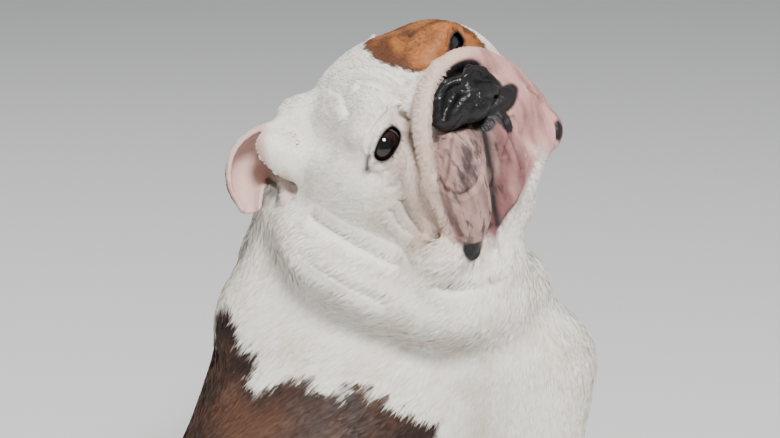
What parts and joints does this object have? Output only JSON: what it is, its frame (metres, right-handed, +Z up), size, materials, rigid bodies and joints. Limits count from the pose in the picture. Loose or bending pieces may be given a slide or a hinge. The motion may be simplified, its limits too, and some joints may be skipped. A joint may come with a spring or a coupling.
{
  "type": "english bulldog, sitting",
  "caption": "Life-size sitting English bulldog, looking back over its right shoulder, with rose ears, a wrinkled face and hanging lips. A still model that rests on the floor.",
  "frame": {"origin": "on the floor, under the rump that the dog sits on", "axes": "+Z up; -Y the way the dog's body points; +X the dog's left"},
  "size_m": [0.3757, 0.369, 0.4776],
  "materials": {
    "white_coat": "short smooth fur, white",
    "brown_coat": "short smooth fur, dark red brown",
    "ear_skin": "thin furred skin, pink inside",
    "nose_leather": "moist black pebbled skin",
    "eye": "wet dark brown",
    "claw": "horn"
  },
  "bodies": {
    "root": {"head": "white_coat", "neck": "white_coat", "chest": "white_coat", "foreleg_l": "white_coat", "foreleg_r": "white_coat", "forepaw_l": "white_coat", "forepaw_r": "white_coat", "hindpaw_l": "white_coat", "hindpaw_r": "white_coat", "rump": "brown_coat", "thigh_l": "brown_coat", "thigh_r": "brown_coat", "tail": "brown_coat", "ear_l": "ear_skin", "ear_r": "ear_skin", "nose": "nose_leather", "eye_l": "eye", "eye_r": "eye", "claw_fore_l_1": "claw", "claw_fore_l_2": "claw", "claw_fore_l_3": "claw", "claw_fore_l_4": "claw", "claw_fore_r_1": "claw", "claw_fore_r_2": "claw", "claw_fore_r_3": "claw", "claw_fore_r_4": "claw", "claw_hind_l_1": "claw", "claw_hind_l_2": "claw", "claw_hind_l_3": "claw", "claw_hind_l_4": "claw", "claw_hind_r_1": "claw", "claw_hind_r_2": "claw", "claw_hind_r_3": "claw", "claw_hind_r_4": "claw"}
  },
  "joints": []
}
